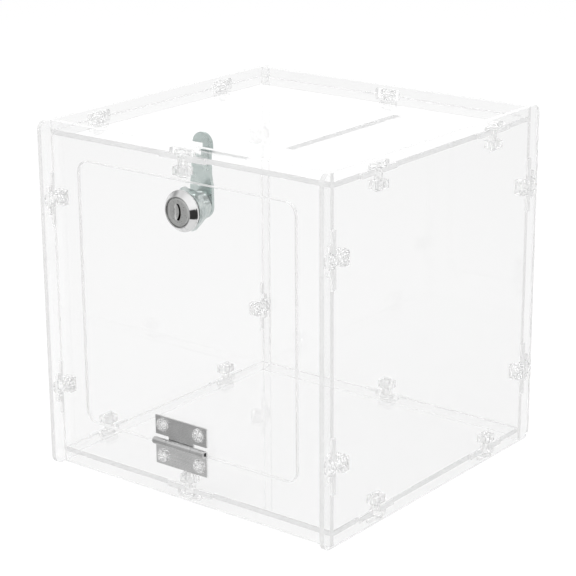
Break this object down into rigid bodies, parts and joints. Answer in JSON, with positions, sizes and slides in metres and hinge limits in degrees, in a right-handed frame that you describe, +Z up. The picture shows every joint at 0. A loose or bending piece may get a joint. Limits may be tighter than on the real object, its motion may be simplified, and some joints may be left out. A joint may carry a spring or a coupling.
{
  "type": "donation box",
  "caption": "Clear sheet donation box with a paper slot in its top, a drop-down front door on a butt hinge, and a cam lock whose hook rises through the top.",
  "frame": {"origin": "on the table, under the middle of the box, at the level of the walls' bottom edges", "axes": "+X right along the front, +Y from the front door to the back, +Z up"},
  "size_m": [0.201, 0.2, 0.2036],
  "materials": {
    "clear_sheet": "clear cast acrylic, polished faces, laser-cut edges",
    "clear_hardware": "clear moulded plastic",
    "hinge_steel": "brushed",
    "lock_chrome": "bright chrome plate",
    "lock_satin": "satin nickel plate",
    "zinc_plate": "bright zinc plate, slightly green",
    "wafer_brass": "stamped",
    "spring_steel": "drawn wire"
  },
  "bodies": {
    "box": {"left_panel": "clear_sheet", "right_panel": "clear_sheet", "front_panel": "clear_sheet", "back_panel": "clear_sheet", "top_panel": "clear_sheet", "bottom_panel": "clear_sheet", "bolts_front": "clear_hardware", "bolts_back": "clear_hardware", "bolts_top": "clear_hardware", "bolts_bottom": "clear_hardware", "nuts_front": "clear_hardware", "nuts_back": "clear_hardware", "nuts_top": "clear_hardware", "nuts_bottom": "clear_hardware", "hinge_lower_leaf": "hinge_steel", "hinge_pin": "hinge_steel", "screws_frame": "clear_hardware"},
    "door": {"door_panel": "clear_sheet", "hinge_upper_leaf": "hinge_steel", "screws_door": "clear_hardware", "lock_housing": "lock_chrome", "lock_washer": "zinc_plate", "lock_nut": "zinc_plate"},
    "lock_plug": {"lock_plug": "lock_satin", "lock_wafers": "wafer_brass", "wafer_springs": "spring_steel", "cam": "zinc_plate", "cam_washer": "zinc_plate", "cam_screw": "zinc_plate"}
  },
  "joints": [
    {"name": "door_hinge", "type": "hinge", "parent": "box", "child": "door", "pos_m": [-0.0042, -0.09515, 0.0317], "axis": [1, 0, 0], "range_deg": [0, 95]},
    {"name": "lock_turn", "type": "hinge", "parent": "door", "child": "lock_plug", "pos_m": [0.0002, -0.093, 0.1647], "axis": [0, 1, 0], "range_deg": [0, 90]}
  ]
}
